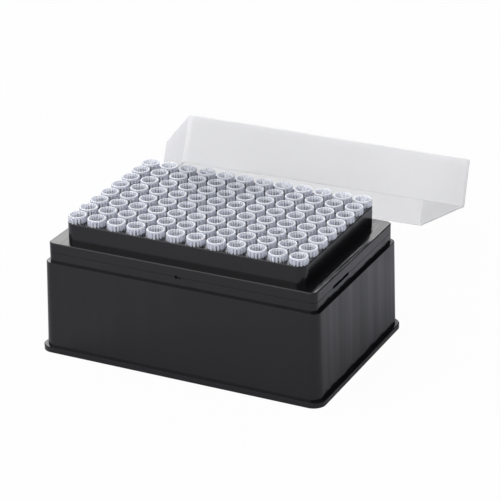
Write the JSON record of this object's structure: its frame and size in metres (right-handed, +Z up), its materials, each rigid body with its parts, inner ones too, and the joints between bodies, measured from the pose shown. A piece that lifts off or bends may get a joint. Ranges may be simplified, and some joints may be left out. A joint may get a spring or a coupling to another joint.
{
  "type": "pipette tip box",
  "caption": "Rectangular plate-footprint box with a perforated rack holding a grid of open conical pipette tips, and a shallow lift-off lid leaning behind it.",
  "frame": {"origin": "on the table, at the middle of the base's underside", "axes": "+X along the twelve columns of tips, +Y along the eight rows towards the leaning lid, +Z up"},
  "size_m": [0.1481, 0.1962, 0.0816],
  "materials": {
    "black_base": "moulded polypropylene, satin gloss",
    "black_rack": "moulded polypropylene, satin gloss",
    "clear_tips": "clear polypropylene",
    "frosted_lid": "frosted translucent polypropylene"
  },
  "bodies": {
    "root": {"base": "black_base", "rack": "black_rack", "tips_column_01": "clear_tips", "tips_column_02": "clear_tips", "tips_column_03": "clear_tips", "tips_column_04": "clear_tips", "tips_column_05": "clear_tips", "tips_column_06": "clear_tips", "tips_column_07": "clear_tips", "tips_column_08": "clear_tips", "tips_column_09": "clear_tips", "tips_column_10": "clear_tips", "tips_column_11": "clear_tips", "tips_column_12": "clear_tips", "lid": "frosted_lid"}
  },
  "joints": []
}
